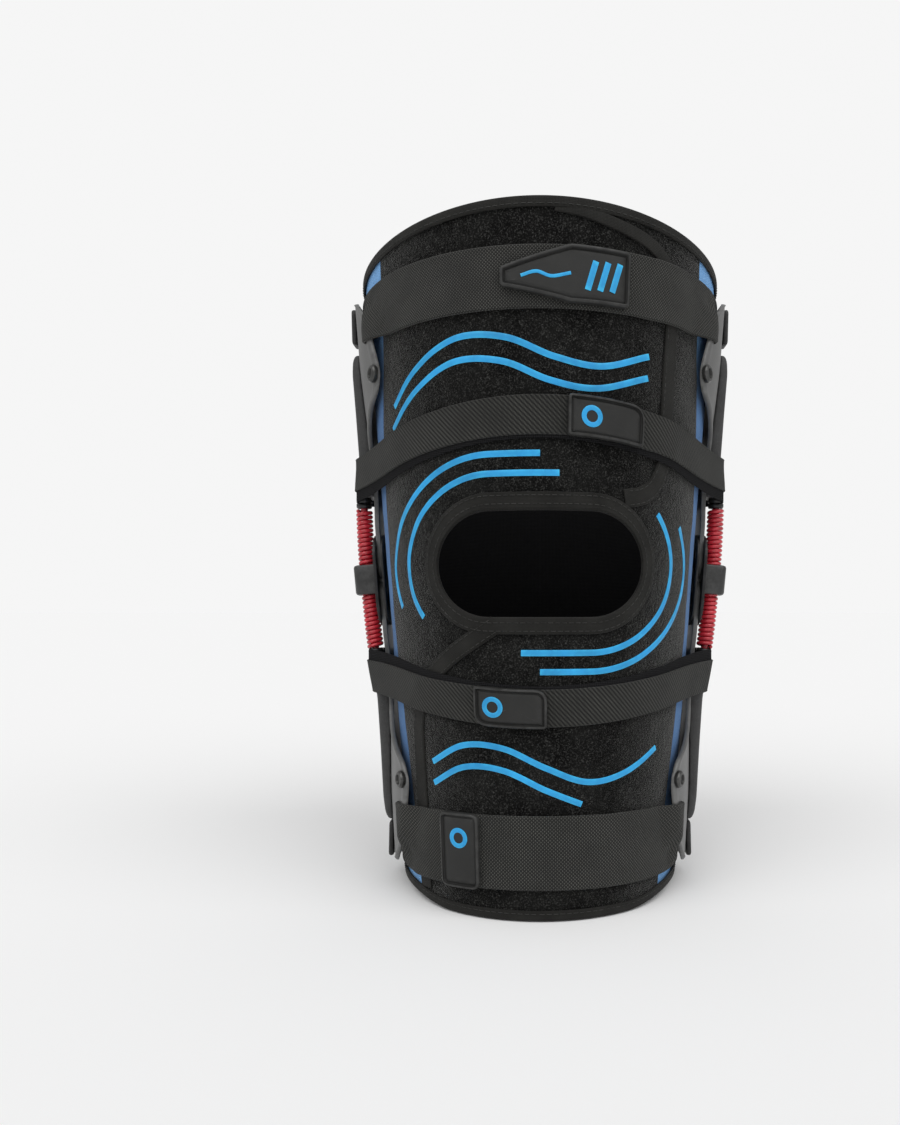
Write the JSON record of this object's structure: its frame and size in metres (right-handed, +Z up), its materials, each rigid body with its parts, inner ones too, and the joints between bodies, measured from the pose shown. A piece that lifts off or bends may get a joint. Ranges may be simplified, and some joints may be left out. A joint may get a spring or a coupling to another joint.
{
  "type": "hinged knee brace",
  "caption": "Wrap-round knee brace: a tapered plush sleeve with a kneecap opening, closed by straps, with hinged side frames and red side springs.",
  "frame": {"origin": "the middle of the brace on the surface it stands on, under its hem", "axes": "+Z up the leg towards the thigh, -Y out of the kneecap opening, +X towards the right of the brace seen from the front"},
  "size_m": [0.1888, 0.1794, 0.299],
  "materials": {
    "plush": "black looped plush",
    "blue_cloth": "light blue knit",
    "binding_tape": "black woven tape",
    "webbing": "dark grey webbing",
    "tab_rubber": "moulded dark grey rubber",
    "frame_grey": "satin grey",
    "housing_grey": "dark grey with a fine grain",
    "hinge_grey": "dark satin",
    "spring_red": "glossy red coat",
    "ferrule_black": "black",
    "lug_metal": "dull bright metal"
  },
  "bodies": {
    "root": {"front_panel": "plush", "back_panel": "plush", "side_panel_left": "blue_cloth", "side_panel_right": "blue_cloth", "top_binding": "binding_tape", "hem_binding": "binding_tape", "opening_binding": "binding_tape", "upper_flap_tape": "binding_tape", "lower_flap_tape": "binding_tape", "thigh_strap": "webbing", "upper_knee_strap": "webbing", "lower_knee_strap": "webbing", "calf_strap": "webbing", "thigh_badge": "tab_rubber", "upper_knee_tab": "tab_rubber", "lower_knee_tab": "tab_rubber", "calf_tab": "tab_rubber", "upper_frame_left": "frame_grey", "upper_frame_right": "frame_grey", "lower_frame_left": "frame_grey", "lower_frame_right": "frame_grey", "hinge_cover_inner_left": "hinge_grey", "hinge_cover_inner_right": "hinge_grey", "hinge_cover_outer_left": "hinge_grey", "hinge_cover_outer_right": "hinge_grey", "spring_clamp_left": "hinge_grey", "spring_clamp_right": "hinge_grey", "hinge_pin_upper_left": "lug_metal", "hinge_pin_upper_right": "lug_metal", "hinge_pin_lower_left": "lug_metal", "hinge_pin_lower_right": "lug_metal", "upper_lug_left": "lug_metal", "upper_lug_right": "lug_metal", "lower_lug_left": "lug_metal", "lower_lug_right": "lug_metal", "spring_rod_left": "spring_red", "spring_rod_right": "spring_red", "spring_coil_left": "spring_red", "spring_coil_right": "spring_red", "upper_ferrule_left": "ferrule_black", "upper_ferrule_right": "ferrule_black", "lower_ferrule_left": "ferrule_black", "lower_ferrule_right": "ferrule_black", "upper_housing_left": "housing_grey", "upper_housing_right": "housing_grey", "lower_housing_left": "housing_grey", "lower_housing_right": "housing_grey", "upper_end_tab_left": "housing_grey", "upper_end_tab_right": "housing_grey", "lower_end_tab_left": "housing_grey", "lower_end_tab_right": "housing_grey"}
  },
  "joints": []
}
